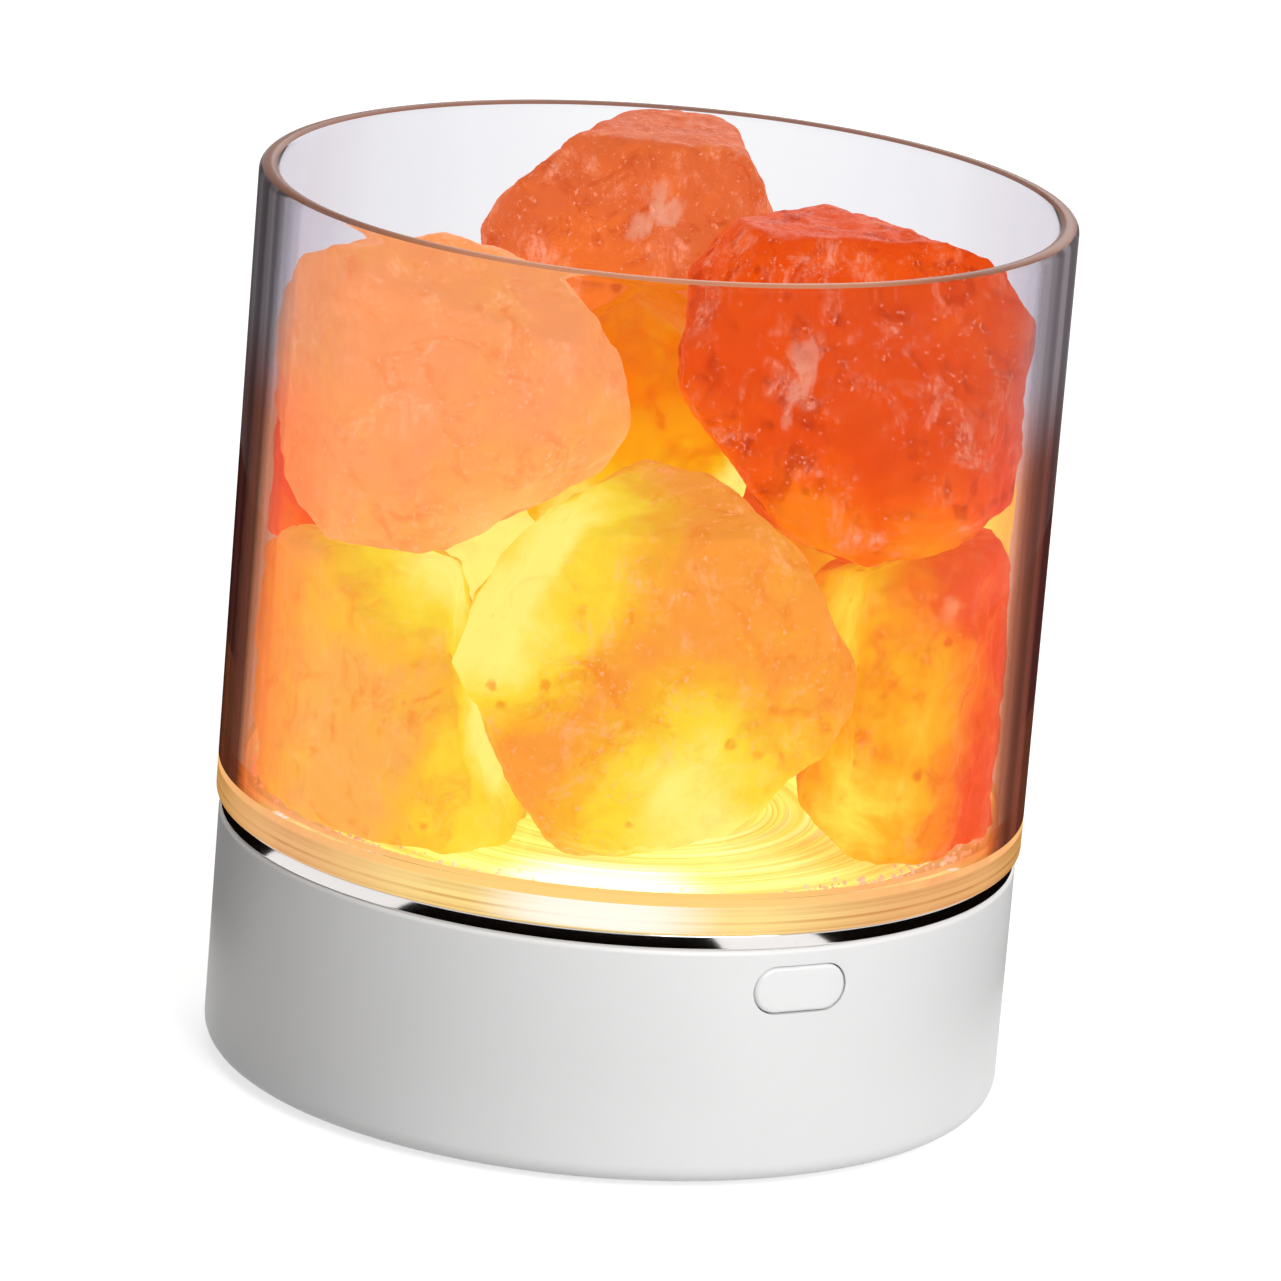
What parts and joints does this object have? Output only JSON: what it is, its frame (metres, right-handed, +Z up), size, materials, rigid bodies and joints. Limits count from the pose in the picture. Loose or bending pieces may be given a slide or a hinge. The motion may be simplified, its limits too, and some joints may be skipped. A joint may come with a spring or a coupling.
{
  "type": "salt crystal lamp",
  "caption": "Round table lamp: lumps of pink and orange rock salt in a clear cup, lit from below by a white rechargeable base with a push button.",
  "frame": {"origin": "point on the lamp's vertical axis in the plane of its feet", "axes": "+Z up along the lamp's axis, -Y out through the push button, +X to the right of someone facing the button"},
  "size_m": [0.082, 0.082, 0.0916],
  "materials": {
    "clear_glass": "polished",
    "chrome_trim": "polished",
    "clear_silicone": "satin",
    "clear_window": "gloss",
    "white_housing": "satin",
    "white_cover": "matte",
    "white_button": "satin",
    "plunger_white": "satin",
    "foot_rubber": "matte",
    "screw_steel": "satin",
    "white_reflector": "gloss",
    "led_board_white": "satin",
    "led_phosphor": "satin",
    "board_green": "satin",
    "component_black": "matte",
    "socket_steel": "satin",
    "battery_foil": "satin",
    "foam_pad": "matte",
    "ribbon_lead": "satin",
    "salt_gold": "satin",
    "salt_orange": "satin",
    "salt_peach": "satin",
    "salt_red": "satin",
    "salt_rose": "satin"
  },
  "bodies": {
    "root": {"glass_cup": "clear_glass", "trim_ring": "chrome_trim", "cup_gasket": "clear_silicone", "light_window": "clear_window", "base_shell": "white_housing", "bottom_cover": "white_cover", "rubber_feet": "foot_rubber", "cover_screws": "screw_steel", "reflector": "white_reflector", "led_board": "led_board_white", "led_chips": "led_phosphor", "led_board_screws": "screw_steel", "control_board": "board_green", "control_board_screws": "screw_steel", "board_parts": "component_black", "usb_socket": "socket_steel", "usb_insert": "component_black", "switch_board": "board_green", "tact_switch": "component_black", "battery_cell": "battery_foil", "battery_pad": "foam_pad", "led_leads": "ribbon_lead", "battery_leads": "ribbon_lead", "switch_leads": "ribbon_lead", "salt_stone_front": "salt_gold", "salt_stone_left": "salt_gold", "salt_stone_right": "salt_orange", "salt_stone_back": "salt_gold", "salt_stone_back_right": "salt_orange", "salt_stone_core": "salt_gold", "salt_stone_upper_left": "salt_peach", "salt_stone_upper_right": "salt_red", "salt_stone_peak": "salt_rose", "salt_stone_heart": "salt_orange", "salt_stone_left_chip": "salt_orange", "salt_stone_right_chip": "salt_orange", "salt_stone_middle_right": "salt_orange", "salt_stone_middle_back": "salt_peach"},
    "button": {"button_cap": "white_button", "switch_plunger": "plunger_white"}
  },
  "joints": [
    {"name": "button_press", "type": "slide", "parent": "root", "child": "button", "axis": [0, 1, 0], "range_m": [0, 0.0006], "stiffness_N_per_m": 900}
  ]
}
